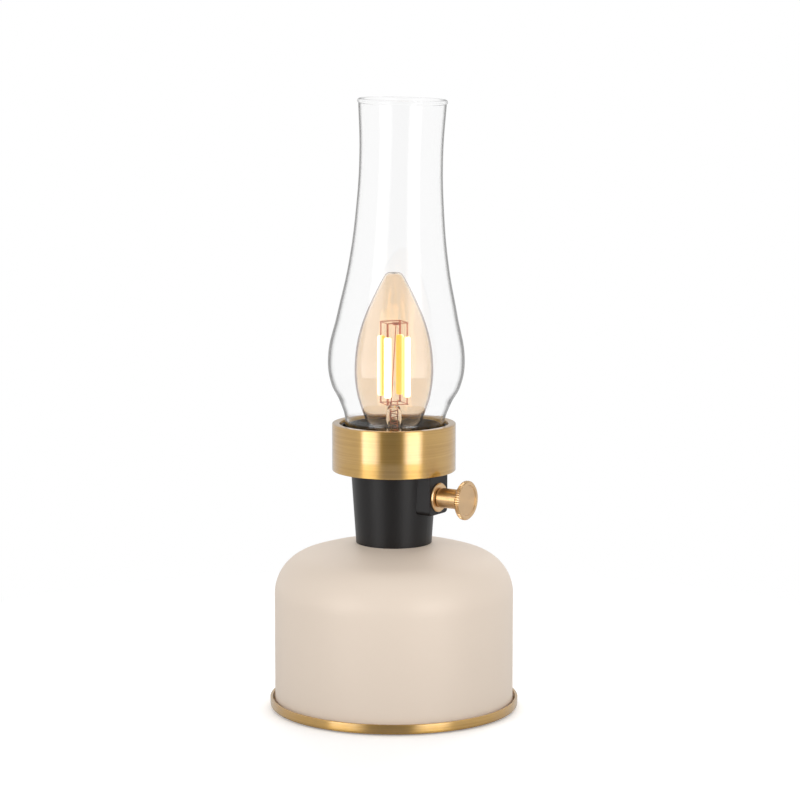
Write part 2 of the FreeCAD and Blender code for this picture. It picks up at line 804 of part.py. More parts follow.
def dimmer_leads():
    """Leads from the dimmer, down past the lampholder, round the tube and over the cells to the board."""
    top = knob_z - dimmer_height / 2 - SLIP
    under_holder = holder_bottom - 2 * lead_r
    into_floor = seat_z + neck_floor / 2
    end_x = -board_reach + board_length - plug_length / 2
    leads = []
    for side in (-1, 1):
        near = side * lead_spacing / 2
        wide = side * lead_side
        leads.append(lead([Vector(lead_drop_x, near, top), Vector(lead_drop_x, near, under_holder),
                           Vector(lead_hole_x, near, into_floor), Vector(lead_hole_x, near, lead_crossing),
                           Vector(lead_sweep, wide, lead_crossing), Vector(end_x, wide, lead_crossing),
                           Vector(end_x, wide, board_top + SLIP)]))
    return Part.makeCompound(leads)


NODES = {
    "foot_pad": foot_pad,
    "base_dish": base_dish,
    "base_screws": base_screws,
    "ballast_plate": ballast_plate,
    "body_shell": body_shell,
    "centre_tube": centre_tube,
    "tube_nuts": tube_nuts,
    "battery_cells": battery_cells,
    "battery_cradle": battery_cradle,
    "board_standoffs": board_standoffs,
    "control_board": control_board,
    "charge_socket": charge_socket,
    "inlet_bezel": inlet_bezel,
    "neck_housing": neck_housing,
    "dimmer_body": dimmer_body,
    "dimmer_shaft": dimmer_shaft,
    "dimmer_escutcheon": dimmer_escutcheon,
    "knob": knob,
    "collar_ring": collar_ring,
    "gallery_cup": gallery_cup,
    "holder_ring": holder_ring,
    "holder_body": holder_body,
    "holder_shell": holder_shell,
    "holder_contact": holder_contact,
    "chimney_glass": chimney_glass_piece,
    "bulb_envelope": bulb_envelope,
    "bulb_stem": bulb_stem,
    "bulb_filaments": bulb_filaments,
    "bulb_wires": bulb_wires,
    "bulb_cap": bulb_cap,
    "bulb_insulator": bulb_insulator,
    "bulb_contact": bulb_contact,
    "holder_leads": holder_leads,
    "dimmer_leads": dimmer_leads,
}


def main():
    os.makedirs("parts", exist_ok=True)
    for name, make in NODES.items():
        shape = make()
        shape.exportStep(f"parts/{name}.step")
        print(f"{name}: {len(shape.Solids)} solids, {shape.Volume / 1000:.2f} cm3, z {shape.BoundBox.ZMin:.2f} "
              f"to {shape.BoundBox.ZMax:.2f}")


main()
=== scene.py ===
# %% [markdown]
# # A cordless lantern lamp, dressed piece by piece
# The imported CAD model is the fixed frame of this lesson. Every piece below lies where the frame
# says, in metres, and rides on one of its bodies. The lesson adds the looks: brushed and turned
# brass, powder coat, blown glass and a lit candle bulb. The same could be modelled by hand in the
# viewport, but in a script each size stays a number that can be read and changed.

# %% Load the frame
import math

import bmesh
import bpy
from mathutils import Matrix, Vector


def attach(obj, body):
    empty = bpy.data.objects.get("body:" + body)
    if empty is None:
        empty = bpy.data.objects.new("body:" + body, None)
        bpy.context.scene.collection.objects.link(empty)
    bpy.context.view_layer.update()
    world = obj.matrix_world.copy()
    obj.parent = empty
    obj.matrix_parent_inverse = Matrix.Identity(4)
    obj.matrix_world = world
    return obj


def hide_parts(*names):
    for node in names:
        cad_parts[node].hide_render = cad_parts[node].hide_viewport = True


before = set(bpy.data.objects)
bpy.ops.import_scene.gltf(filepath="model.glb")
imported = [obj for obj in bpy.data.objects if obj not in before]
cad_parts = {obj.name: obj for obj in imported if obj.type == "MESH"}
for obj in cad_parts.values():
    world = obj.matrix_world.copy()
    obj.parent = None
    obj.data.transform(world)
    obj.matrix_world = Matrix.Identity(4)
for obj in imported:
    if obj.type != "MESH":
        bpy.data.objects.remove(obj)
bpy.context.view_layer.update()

MM = 0.001

# %% [markdown]
# ## Colours
# Sizes on a drawing are in millimetres and Blender's are in metres, so MM turns one into the other.
# Colours are picked as sRGB hex values, the way a paint shop writes them, but Blender's shaders want
# linear light. The colour picker of the viewport hides that step, and in a script one function does it.

# %% One function for every colour
def hex_colour(code):
    """The linear colour of an sRGB hex value such as #c0ffee."""
    shares = [int(code[at:at + 2], 16) / 255 for at in (1, 3, 5)]
    return [s / 12.92 if s <= 0.04045 else ((s + 0.055) / 1.055) ** 2.4 for s in shares] + [1.0]


print("#808080 is", round(hex_colour("#808080")[0], 3), "in linear light")

# %% [markdown]
# ## Nodes
# A material is a tree of nodes. Placing each node and drawing each link in a line of its own makes
# long code, so one function adds a node, sets its sockets and links whatever socket is passed to it.
# A Mix node keeps a set of sockets for each type of data, so those for colours get names here.

# %% Add nodes and start a material
FACTOR, COLOUR_A, COLOUR_B, MIXED = 0, 6, 7, 2


def add_node(tree, kind, sockets=None, **settings):
    """Adds a shader node. A socket that is passed is linked, and any other value is set."""
    made = tree.nodes.new("ShaderNode" + kind)
    for name, value in settings.items():
        setattr(made, name, value)
    for key, value in (sockets or {}).items():
        if isinstance(value, bpy.types.NodeSocket):
            tree.links.new(value, made.inputs[key])
        else:
            made.inputs[key].default_value = value
    return made


def new_material(name):
    """An empty material, its node tree and the socket of its Object coordinates."""
    material = bpy.data.materials.new(name)
    material.use_nodes = True
    tree = material.node_tree
    tree.nodes.clear()
    print("material:", name)
    return material, tree, add_node(tree, "TexCoord").outputs["Object"]


def pattern_scale(size_mm):
    """The Scale of a pattern whose features are so many millimetres across."""
    return 1000 / size_mm


# %% [markdown]
# ## Powder coat
# The shell and the neck are sprayed with dry powder and baked. It melts into a skin with a faint
# orange-peel ripple about a millimetre across, so the eye sees a matt colour under a broad, soft
# shine. A plain rough colour would come near, but close up it looks like bare plastic. So here the
# colour drifts a little over the surface, and a shallow bump draws the ripple.

# %% Powder coats
DRIFT_MM = 60


def powder_coat(name, pale, deep, roughness, peel_mm, peel_depth, shine=0.5):
    """Baked powder with an orange peel that is so many millimetres wide and deep."""
    material, tree, place = new_material(name)
    drift = add_node(tree, "TexNoise", {"Vector": place, "Scale": pattern_scale(DRIFT_MM),
                                        "Detail": 3.0})
    colour = add_node(tree, "Mix", {FACTOR: drift.outputs["Fac"], COLOUR_A: hex_colour(pale),
                                    COLOUR_B: hex_colour(deep)}, data_type="RGBA")
    peel = add_node(tree, "TexNoise", {"Vector": place, "Scale": pattern_scale(peel_mm),
                                       "Detail": 2.0})
    ripple = add_node(tree, "Bump", {"Height": peel.outputs["Fac"], "Strength": 0.35,
                                     "Distance": peel_depth * MM})
    coat = add_node(tree, "BsdfPrincipled", {
        "Base Color": colour.outputs[MIXED], "Roughness": roughness, "IOR": 1.5,
        "Specular IOR Level": shine, "Normal": ripple.outputs["Normal"]})
    add_node(tree, "OutputMaterial", {"Surface": coat.outputs[0]})
    return material


finishes = {
    "beige_powder_coat": powder_coat("powder_coat_beige", "#e4d5c5", "#dfcfbf", 0.42, 1.1, 0.10),
    "black_powder_coat": powder_coat("powder_coat_black", "#151313", "#110f0f", 0.38, 0.9, 0.08,
                                     0.32),
}

# %% [markdown]
# ## Brass
# The collar and the dish are brushed while they turn on a lathe, and then lacquered. The scratches
# run round the axis, so they spread each highlight up and down. A picture of scratches could do it,
# but an anisotropic shine, its tangent round the axis and turned a quarter, does it on any outline.
# Real scratches are finer than 0.1 mm, so they are drawn about five times as coarse, to show.

# %% Brushed and turned brass
SCRATCH_LENGTH_MM = 45
UNEVEN = 0.06               # how far the roughness strays along the scratches


def lathe_brass(name, pale, deep, axis, roughness, scratch_mm, gloss_stretch):
    """Lacquered brass with scratches so many millimetres wide that run round an axis."""
    material, tree, place = new_material(name)
    across, along = pattern_scale(scratch_mm), pattern_scale(SCRATCH_LENGTH_MM)
    scale = [across if letter == axis else along for letter in "XYZ"]
    stretched = add_node(tree, "Mapping", {"Vector": place, "Scale": scale})
    scratches = add_node(tree, "TexNoise", {"Vector": stretched.outputs[0], "Scale": 1.0,
                                            "Detail": 4.0, "Roughness": 0.6})
    colour = add_node(tree, "Mix", {FACTOR: scratches.outputs["Fac"], COLOUR_A: hex_colour(pale),
                                    COLOUR_B: hex_colour(deep)}, data_type="RGBA")
    dullness = add_node(tree, "MapRange", {
        "Value": scratches.outputs["Fac"], "From Min": 0.3, "From Max": 0.7,
        "To Min": roughness - UNEVEN, "To Max": roughness + UNEVEN})
    grooves = add_node(tree, "Bump", {"Height": scratches.outputs["Fac"], "Strength": 0.25,
                                      "Distance": 0.02 * MM})
    round_axis = add_node(tree, "Tangent", direction_type="RADIAL", axis=axis)
    metal = add_node(tree, "BsdfPrincipled", {
        "Base Color": colour.outputs[MIXED], "Metallic": 1.0, "Roughness": dullness.outputs[0],
        "Anisotropic": gloss_stretch, "Anisotropic Rotation": 0.25,
        "Coat Weight": 1.0, "Coat Roughness": 0.08, "Coat IOR": 1.8,
        "Normal": grooves.outputs["Normal"], "Tangent": round_axis.outputs[0]})
    add_node(tree, "OutputMaterial", {"Surface": metal.outputs[0]})
    return material


finishes["brushed_brass"] = lathe_brass("brass_brushed", "#e9bc64", "#c99843", "Z", 0.40, 0.5, 1.0)
finishes["turned_brass"] = lathe_brass("brass_turned", "#e8bf84", "#d2a468", "X", 0.32, 0.4, 0.8)
finishes["contact_brass"] = lathe_brass("brass_plain", "#e6c383", "#d3ad6b", "Z", 0.3, 0.6, 0.2)

# %% [markdown]
# ## Plated metals and drawn wire
# Zinc plate on steel, nickel plate on sheet and the copper skin of a bulb's wires are metals with a
# cloudy or a bright skin. One even metal would look like chrome, so soft clouds change the colour
# and the roughness. A metal keeps the default IOR, because its colour already says how it reflects.

# %% Plated metals
PLATE_CLOUD = 0.08          # how far the roughness strays from cloud to cloud


def plated(name, pale, deep, roughness, cloud_mm):
    """A plated metal with clouds so many millimetres across."""
    material, tree, place = new_material(name)
    clouds = add_node(tree, "TexNoise", {"Vector": place, "Scale": pattern_scale(cloud_mm),
                                         "Detail": 3.0})
    colour = add_node(tree, "Mix", {FACTOR: clouds.outputs["Fac"], COLOUR_A: hex_colour(pale),
                                    COLOUR_B: hex_colour(deep)}, data_type="RGBA")
    dullness = add_node(tree, "MapRange", {
        "Value": clouds.outputs["Fac"], "To Min": roughness - PLATE_CLOUD,
        "To Max": roughness + PLATE_CLOUD})
    metal = add_node(tree, "BsdfPrincipled", {
        "Base Color": colour.outputs[MIXED], "Metallic": 1.0, "Roughness": dullness.outputs[0]})
    add_node(tree, "OutputMaterial", {"Surface": metal.outputs[0]})
    return material


finishes["zinc_steel"] = plated("steel_zinc_plated", "#c9ccd0", "#a9adb3", 0.32, 4)
finishes["nickel_sheet"] = plated("nickel_plate", "#ded8cd", "#c9c2b5", 0.22, 3)
finishes["nickel_wire"] = plated("copper_clad_wire_drawn", "#e8987a", "#b8705a", 0.3, 1)

# %% [markdown]
# ## Mouldings, rubber and small electrics
# Moulded plastic, rubber and shrink wrap are dielectrics whose skin repeats the mould: a fine grain
# that breaks up the shine. Displacement could cut the grain into the mesh, but it is far too small
# to change an outline, so it is a shallow bump and a little change in colour and roughness.

# %% Moulded and coated plastics
MOULD_UNEVEN = 0.07         # how far the roughness strays over the grain


def moulded(name, pale, deep, roughness, grain_mm, grain_depth):
    """A moulded skin with a grain that is so many millimetres wide and deep."""
    material, tree, place = new_material(name)
    grain = add_node(tree, "TexNoise", {"Vector": place, "Scale": pattern_scale(grain_mm),
                                        "Detail": 4.0})
    colour = add_node(tree, "Mix", {FACTOR: grain.outputs["Fac"], COLOUR_A: hex_colour(pale),
                                    COLOUR_B: hex_colour(deep)}, data_type="RGBA")
    dullness = add_node(tree, "MapRange", {
        "Value": grain.outputs["Fac"], "To Min": roughness - MOULD_UNEVEN,
        "To Max": roughness + MOULD_UNEVEN})
    skin = add_node(tree, "Bump", {"Height": grain.outputs["Fac"], "Strength": 0.5,
                                   "Distance": grain_depth * MM})
    plastic = add_node(tree, "BsdfPrincipled", {
        "Base Color": colour.outputs[MIXED], "IOR": 1.5, "Roughness": dullness.outputs[0],
        "Normal": skin.outputs["Normal"]})
    add_node(tree, "OutputMaterial", {"Surface": plastic.outputs[0]})
    return material


finishes["black_moulding"] = moulded("phenolic_moulded", "#201e1d", "#161514", 0.42, 0.5, 0.03)
finishes["black_rubber"] = moulded("rubber_pad", "#242322", "#191818", 0.75, 0.4, 0.08)
finishes["cell_wrap"] = moulded("cell_shrink_wrap", "#2e6ea3", "#265f91", 0.28, 6, 0.05)
finishes["board_laminate"] = moulded("circuit_board_laminate", "#1c6a3b", "#165830", 0.35, 0.8, 0.03)
finishes["lead_insulation"] = moulded("silicone_insulation", "#a3281f", "#8e2019", 0.5, 1, 0.02)
finishes["black_glass"] = moulded("cap_glass_pressed", "#191b20", "#101115", 0.15, 2, 0.01)

# %% [markdown]
# ## Glass
# Blown glass is clear, and its edges look dark only because there the eye looks along the wall.
# Real refraction alone leaves the edge too pale before a white wall, so a painted shade darkens the
# colour where the surface turns away, on the faces that carry the attribute "outside". Lamps have to
# reach what is behind the glass, so rays that look for a lamp pass through a transparent shader
# instead.

# %% Clear and amber glass
SWIRL_MM, SWIRL_DEPTH = 40, 0.2
GLASS_IOR = 1.47


def blown_glass(name, clear, edge, edge_from, edge_to):
    """Glass that is clear face on and takes a painted dark edge between two shares of turning away."""
    material, tree, place = new_material(name)
    rim = add_node(tree, "LayerWeight", {"Blend": 0.5})
    outside = add_node(tree, "Attribute", attribute_name="outside")
    # Painted shade: the colour turns dark where the wall is seen edge on, on marked faces only.
    edge_shade_share = add_node(tree, "MapRange", {
        "Value": rim.outputs["Facing"], "From Min": edge_from, "From Max": edge_to,
        "To Max": outside.outputs["Fac"]})
    painted_edge_shade = add_node(tree, "Mix", {FACTOR: edge_shade_share.outputs[0], COLOUR_A: hex_colour(clear),
                                  COLOUR_B: hex_colour(edge)}, data_type="RGBA")
    swirl = add_node(tree, "TexNoise", {"Vector": place, "Scale": pattern_scale(SWIRL_MM),
                                        "Detail": 1.0})
    waves = add_node(tree, "Bump", {"Height": swirl.outputs["Fac"], "Strength": 0.15,
                                    "Distance": SWIRL_DEPTH * MM})
    glass = add_node(tree, "BsdfPrincipled", {
        "Base Color": painted_edge_shade.outputs[MIXED], "Roughness": 0.0, "IOR": GLASS_IOR,
        "Transmission Weight": 1.0, "Normal": waves.outputs["Normal"]})
    path = add_node(tree, "LightPath")
    through = add_node(tree, "BsdfTransparent", {"Color": hex_colour(clear)})
    both = add_node(tree, "MixShader", {0: path.outputs["Is Shadow Ray"], 1: glass.outputs[0],
                                        2: through.outputs[0]})
    add_node(tree, "OutputMaterial", {"Surface": both.outputs[0]})
    return material


# The second colour of each glass is its painted dark edge.
finishes["clear_glass"] = blown_glass("soda_lime_glass", "#fdfdfd", "#3e3c3a", 0.61, 0.75)
finishes["amber_glass"] = blown_glass("amber_tinted_glass", "#fbecd9", "#42241d", 0.61, 0.75)

# %% [markdown]
# ## Glowing filaments
# Each stick is a row of tiny blue diodes under a phosphor coat, so it glows warm white, and whiter
# on the side where the diodes sit, which faces outwards. A lamp inside each stick would be slow and
# noisy. Emission on the stick is all that the eye sees of it, so that is what it gets.

# %% Phosphor that glows
FILAMENT_CIRCLE_R = 6.2
GLOW_INNER, GLOW_OUTER = -1.2, 0.6     # where the glow starts and stops to whiten, from that circle


def glowing_phosphor(name):
    """Emission that is yellow towards the bulb's axis and whiter and stronger away from it."""
    material, tree, place = new_material(name)
    flat = add_node(tree, "VectorMath", {0: place, 1: (1.0, 1.0, 0.0)}, operation="MULTIPLY")
    distance = add_node(tree, "VectorMath", {0: flat.outputs[0]}, operation="LENGTH")
    side = add_node(tree, "MapRange", {
        "Value": distance.outputs["Value"], "From Min": (FILAMENT_CIRCLE_R + GLOW_INNER) * MM,
        "From Max": (FILAMENT_CIRCLE_R + GLOW_OUTER) * MM})
    glow = add_node(tree, "Mix", {FACTOR: side.outputs[0], COLOUR_A: hex_colour("#ffcf4a"),
                                  COLOUR_B: hex_colour("#fff0c8")}, data_type="RGBA")
    power = add_node(tree, "MapRange", {"Value": side.outputs[0], "To Min": 1.3, "To Max": 3.2})
    light = add_node(tree, "Emission", {"Color": glow.outputs[MIXED], "Strength": power.outputs[0]})
    add_node(tree, "OutputMaterial", {"Surface": light.outputs[0]})
    return material


finishes["glowing_filament"] = glowing_phosphor("phosphor_glowing")

# %% [markdown]
# ## Finishes for the frame's own pieces
# A CAD piece whose shape is right stays as it is and only gets a better finish. Its material slots
# already carry the names of the finishes, so each slot takes the finish of its name.

# %% Give the frame its finishes
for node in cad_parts.values():
    for holder in node.material_slots:
        holder.material = finishes[holder.material.name.split(".")[0]]
print("finishes:", len(finishes), "for", len(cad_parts), "nodes")

# %% [markdown]
# ## Outlines
# Most pieces of this lamp are round: they are turned, spun or blown. Stacked cylinders could stand
# for them, but a maker thinks of such a piece as half an outline that turns once. So each starts as
# an outline in the XZ plane, radius and height. Arcs in it are a spin as well: one point that
# swings about a centre.

# %% Draw an outline
def to_point(bm, last, radius, height):
    """A new outline point, joined to the last one by a straight edge."""
    point = bmesh.ops.create_vert(bm, co=(radius * MM, 0, height * MM))["vert"][0]
    if last is not None:
        bm.edges.new((last, point))
    return point


def swing(bm, last, radius, height, degrees, steps):
    """Swings the last point about a centre, counter-clockwise with Z up and X to the right."""
    swept = bmesh.ops.spin(bm, geom=[last], cent=(radius * MM, 0, height * MM), axis=(0, 1, 0),
                           angle=math.radians(-degrees), steps=steps)
    return [part for part in swept["geom_last"] if isinstance(part, bmesh.types.BMVert)][0]


# %% Spin it round
AROUND = 144
SAME_SPOT = 0.001           # points nearer than this, in millimetres, are one


def spin_round(bm, steps=AROUND):
    """Turns the whole outline once about Z, joins what meets and faces it outwards."""
    bmesh.ops.spin(bm, geom=bm.verts[:] + bm.edges[:], cent=(0, 0, 0), axis=(0, 0, 1),
                   angle=2 * math.pi, steps=steps, use_merge=True)
    bmesh.ops.remove_doubles(bm, verts=bm.verts, dist=SAME_SPOT * MM)
    bmesh.ops.recalc_face_normals(bm, faces=bm.faces)


print("a turned piece has a face every", 360 / AROUND, "degrees")

# %% [markdown]
# ## From mesh to piece
# A finished mesh is shaded smooth but for its sharp edges, gets its finish, rides on a body and
# stands for the CAD node that it replaces. Its object stays at the origin, with its place in the
# mesh, so a pattern on Object coordinates doesn't slide when the piece moves.

# %% Dress a piece
SHARP_FROM = 40             # degrees


def sharp_edges(bm):
    """The edges where two faces meet at a clear angle."""
    return [edge for edge in bm.edges
            if len(edge.link_faces) == 2 and edge.calc_face_angle(0) > math.radians(SHARP_FROM)]


def dress(bm, name, slot, body, *nodes):
    """Turns the bmesh into a finished piece that rides on a body and stands for CAD nodes."""
    for face in bm.faces:
        face.smooth = True
    for edge in sharp_edges(bm):
        edge.smooth = False
    mesh = bpy.data.meshes.new(name)
    bm.to_mesh(mesh)
    bm.free()
    piece = bpy.data.objects.new(name, mesh)
    bpy.context.scene.collection.objects.link(piece)
    mesh.materials.append(finishes[slot])
    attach(piece, body)
    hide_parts(*nodes)
    print(name, len(mesh.polygons), "faces, slot", slot)


# %% [markdown]
# ## The dish
# Brass sheet, pressed into a low dish: a raised middle, a flat land under the shell and a rim that
# stands up around it. A cylinder and a torus would leave a seam at the rim, so one outline goes all
# the way round the sheet, with a bend at the foot of the rim and a rounded upper edge.

# %% Base dish
DISH_R, DISH_INNER_R, DISH_BEND, RIM_EDGE_R = 55.0, 53.8, 1.6, 0.3
DISH_Z, PANEL_Z, LAND_Z, DISH_TOP, RIM_TOP = 0.5, 1.5, 1.7, 2.7, 5.0
TUBE_HOLE_R, STEP_R, DISH_FLOOR_R = 5.1, 50.2, 51.5
BEND_STEPS, EDGE_STEPS = 8, 4

bm = bmesh.new()
start = point = to_point(bm, None, TUBE_HOLE_R, PANEL_Z)
for radius, height in ((STEP_R, PANEL_Z), (STEP_R, DISH_Z), (DISH_R - DISH_BEND, DISH_Z)):
    point = to_point(bm, point, radius, height)
point = swing(bm, point, DISH_R - DISH_BEND, DISH_Z + DISH_BEND, 90, BEND_STEPS)
point = to_point(bm, point, DISH_R, RIM_TOP - RIM_EDGE_R)
point = swing(bm, point, DISH_R - RIM_EDGE_R, RIM_TOP - RIM_EDGE_R, 90, EDGE_STEPS)
point = to_point(bm, point, DISH_INNER_R + RIM_EDGE_R, RIM_TOP)
point = swing(bm, point, DISH_INNER_R + RIM_EDGE_R, RIM_TOP - RIM_EDGE_R, 90, EDGE_STEPS)
point = to_point(bm, point, DISH_INNER_R, DISH_Z + DISH_BEND)
for radius, height in ((DISH_R - DISH_BEND, LAND_Z), (DISH_FLOOR_R, LAND_Z),
                       (DISH_FLOOR_R, DISH_TOP), (TUBE_HOLE_R, DISH_TOP)):
    point = to_point(bm, point, radius, height)
bm.edges.new((point, start))
spin_round(bm)
dress(bm, "dish_pressed", "brushed_brass", "base_body", "base_dish")

# %% [markdown]
# ## Collar and gallery cup
# The collar is turned from thick tube and brushed, and its edges are broken by 0.4 mm. The black cup
# inside it carries the foot of the chimney, just under the collar's rim. Both are straight-sided
# outlines, and a bevel breaks the edges after the spin, as a file does after the lathe.

# %% Straight outlines and broken edges
def from_points(points, close=True):
    """A bmesh that holds a straight-sided outline."""
    bm = bmesh.new()
    first = last = None
    for radius, height in points:
        last = to_point(bm, last, radius, height)
        first = first or last
    if close:
        bm.edges.new((last, first))
    return bm


def soften(bm, width, segments=2):
    """Breaks every sharp edge, as a maker does with a file or a tumbler."""
    bmesh.ops.bevel(bm, geom=sharp_edges(bm), offset=width * MM, segments=segments, profile=0.5,
                    affect="EDGES", material=-1, clamp_overlap=True)


# %% Collar and cup
COLLAR_R, COLLAR_INNER_R, HOLDER_HOLE_R, COLLAR_EDGE = 27.2, 23.9, 13.6, 0.4
NECK_TOP, COLLAR_TOP = 106.561, 127.461
CUP_R, CUP_INNER_R, CUP_EDGE = 23.7, 22.5, 0.2
CUP_Z, CHIMNEY_SEAT, CUP_TOP = 108.161, 109.661, 126.361

bm = from_points([(HOLDER_HOLE_R, NECK_TOP), (COLLAR_R, NECK_TOP), (COLLAR_R, COLLAR_TOP),
                  (COLLAR_INNER_R, COLLAR_TOP), (COLLAR_INNER_R, CUP_Z), (HOLDER_HOLE_R, CUP_Z)])
spin_round(bm)
soften(bm, COLLAR_EDGE, 3)
dress(bm, "collar_turned", "brushed_brass", "base_body", "collar_ring")

bm = from_points([(HOLDER_HOLE_R, CUP_Z), (CUP_R, CUP_Z), (CUP_R, CUP_TOP), (CUP_INNER_R, CUP_TOP),
                  (CUP_INNER_R, CHIMNEY_SEAT), (HOLDER_HOLE_R, CHIMNEY_SEAT)])
spin_round(bm)
soften(bm, CUP_EDGE)
dress(bm, "cup_gallery", "black_powder_coat", "base_body", "gallery_cup")

# %% [markdown]
# ## The knob
# The knob is turned from brass bar and its rim is straight-knurled by a wheel pressed into it, which
# gives the fingers a grip. A bump could fake the grooves, but they show on the outline of the disc.
# So it is drawn standing up and spun in four steps for each ridge, and every fourth line of the rim
# is pushed in. Then it is laid along X. Real ridges are finer, and these are as coarse as they need
# to be to show.

# %% Knob outline
KNOB_Z, KNOB_START, STEM_R, STEM_EDGE = 96.411, 24.5, 4.35, 0.2
DISC_START, DISC_END, DISC_R, RIM_BEVEL = 36.3, 38.5, 8.6, 0.6
FACE_R, FACE_RECESS, FACE_SLOPE = 6.5, 0.4, 0.3
BORE_R, BORE_END = 3.05, 36.0
RIDGES, GROOVE, LINES = 54, 0.45, 4

bm = from_points([
    (0, BORE_END), (BORE_R, BORE_END), (BORE_R, KNOB_START), (STEM_R - STEM_EDGE, KNOB_START),
    (STEM_R, KNOB_START + STEM_EDGE), (STEM_R, DISC_START), (DISC_R - RIM_BEVEL, DISC_START),
    (DISC_R, DISC_START + RIM_BEVEL), (DISC_R, DISC_END - RIM_BEVEL),
    (DISC_R - RIM_BEVEL, DISC_END), (FACE_R + FACE_SLOPE, DISC_END),
    (FACE_R, DISC_END - FACE_RECESS), (0, DISC_END - FACE_RECESS)], close=False)
spin_round(bm, LINES * RIDGES)

# %% Knurl the rim and lay the knob down
step = 2 * math.pi / (LINES * RIDGES)
for vert in bm.verts:
    if math.hypot(vert.co.x, vert.co.y) > (DISC_R - RIM_BEVEL / 2) * MM:
        line = round(math.atan2(vert.co.y, vert.co.x) / step)
        if line % LINES == 0:
            vert.co.xy *= (DISC_R - GROOVE) / DISC_R
bmesh.ops.rotate(bm, verts=bm.verts, cent=(0, 0, 0), matrix=Matrix.Rotation(math.pi / 2, 3, "Y"))
bmesh.ops.translate(bm, verts=bm.verts, vec=(0, 0, KNOB_Z * MM))
bmesh.ops.recalc_face_normals(bm, faces=bm.faces)
dress(bm, "knob_knurled", "turned_brass", "knob_body", "knob")

# %% [markdown]
# ## Glass outlines
# Blown glass has no corners: it swells and narrows in one sweep. Arcs joined by hand would have to
# be worked out one by one, so a curve with automatic handles runs through the measured stations,
# and its two ends are told which way to leave and to arrive.

# %% Smooth outline through stations
OUTLINE_STEPS = 14


def as_mesh(drawn):
    """The mesh of a curve object, which is then cleared away."""
    bpy.context.view_layer.update()
    line = bpy.data.meshes.new_from_object(drawn)
    curve = drawn.data
    bpy.data.objects.remove(drawn)
    bpy.data.curves.remove(curve)
    return line


def smooth_outline(bm, stations, leave, arrive):
    """Adds a smooth curve through (radius, height) stations, with directions at its two ends."""
    curve = bpy.data.curves.new("outline", "CURVE")
    curve.dimensions = "3D"
    curve.resolution_u = OUTLINE_STEPS
    spline = curve.splines.new("BEZIER")
    spline.bezier_points.add(len(stations) - 1)
    for point, (radius, height) in zip(spline.bezier_points, stations):
        point.co = (radius * MM, 0, height * MM)
        point.handle_left_type = point.handle_right_type = "AUTO"
    drawn = bpy.data.objects.new("outline", curve)
    bpy.context.scene.collection.objects.link(drawn)
    bpy.context.view_layer.update()
    first, last = spline.bezier_points[0], spline.bezier_points[-1]
    for end, near, way, side in ((first, spline.bezier_points[1], leave, "handle_right"),
                                 (last, spline.bezier_points[-2], arrive, "handle_left")):
        reach = (end.co - near.co).length / 3
        setattr(end, side + "_type", "FREE")
        sign = 1 if end is first else -1
        setattr(end, side, end.co + sign * reach * Vector((way[0], 0, way[1])).normalized())
    line = as_mesh(drawn)
    drawn_before = len(bm.verts)
    bm.from_mesh(line)
    bpy.data.meshes.remove(line)
    bm.verts.ensure_lookup_table()
    return bm.verts[drawn_before], bm.verts[-1]


# %% [markdown]
# ## The chimney
# Clear glass, blown and cut, with a straight foot, a swelling round the bulb and a long throat. It
# stands a little out of true on its foot, as the real one does. A solidify could make the wall, but
# an inner and an outer outline let the mouth swell into a fire-polished bead between them. After the
# spin the glass is tilted, and a plane cuts its foot level.

# %% Chimney outline
FOOT_R, FOOT_HEIGHT, MOUTH_R, MOUTH_HEIGHT = 22.0, 19.0, 19.2, 159.7
CHIMNEY_WALL, LIP_R, LIP_STEPS, CHIMNEY_AROUND = 1.2, 1.1, 16, 192
STATIONS = [(FOOT_R, FOOT_HEIGHT), (24.4, 27.0), (28.4, 34.9), (30.0, 46.1), (26.3, 65.7),
            (22.0, 86.9), (19.05, 113.3), (18.2, 136.3)]
UP, FLARING = (0, 1), (0.05, 1)
DOWN, CLOSING = (0, -1), (-0.05, -1)

lip_z = CHIMNEY_SEAT + MOUTH_HEIGHT - LIP_R
lip_meets = math.sqrt(LIP_R ** 2 - (CHIMNEY_WALL / 2) ** 2)
lip_sweep = 360 - 2 * math.degrees(math.asin(CHIMNEY_WALL / 2 / LIP_R))
outer = [(r, CHIMNEY_SEAT + h) for r, h in STATIONS] + [(MOUTH_R, lip_z - lip_meets)]
inner = [(r - CHIMNEY_WALL, z) for r, z in reversed(outer)]

bm = bmesh.new()
outer_foot, point = smooth_outline(bm, outer, UP, FLARING)
point = swing(bm, point, MOUTH_R - CHIMNEY_WALL / 2, lip_z, lip_sweep, LIP_STEPS)
inner_top, inner_foot = smooth_outline(bm, inner, CLOSING, DOWN)
bm.edges.new((point, inner_top))
point = to_point(bm, inner_foot, FOOT_R - CHIMNEY_WALL, CHIMNEY_SEAT - CHIMNEY_WALL)
point = to_point(bm, point, FOOT_R, CHIMNEY_SEAT - CHIMNEY_WALL)
bm.edges.new((point, outer_foot))
spin_round(bm, CHIMNEY_AROUND)

# %% Tilt the chimney and cut its foot
LEAN, LEAN_HEADING = 1.35, math.radians(33.0)

tilt_axis = Vector((-math.sin(LEAN_HEADING), math.cos(LEAN_HEADING), 0))
bmesh.ops.rotate(bm, verts=bm.verts, cent=(0, 0, CHIMNEY_SEAT * MM),
                 matrix=Matrix.Rotation(math.radians(LEAN), 3, tilt_axis))
cut = bmesh.ops.bisect_plane(bm, geom=bm.verts[:] + bm.edges[:] + bm.faces[:], dist=0,
                             plane_co=(0, 0, CHIMNEY_SEAT * MM), plane_no=(0, 0, 1),
                             clear_inner=True)
open_edges = [part for part in cut["geom_cut"] if isinstance(part, bmesh.types.BMEdge)]
bmesh.ops.bridge_loops(bm, edges=open_edges)
bmesh.ops.recalc_face_normals(bm, faces=bm.faces)

# %% Mark its outside
# The lip takes LIP_SHARE of the painted dark edge; faces turned further away than FACING_AWAY take all
# of it.
LIP_SHARE, FACING_AWAY = 0.45, 0.2


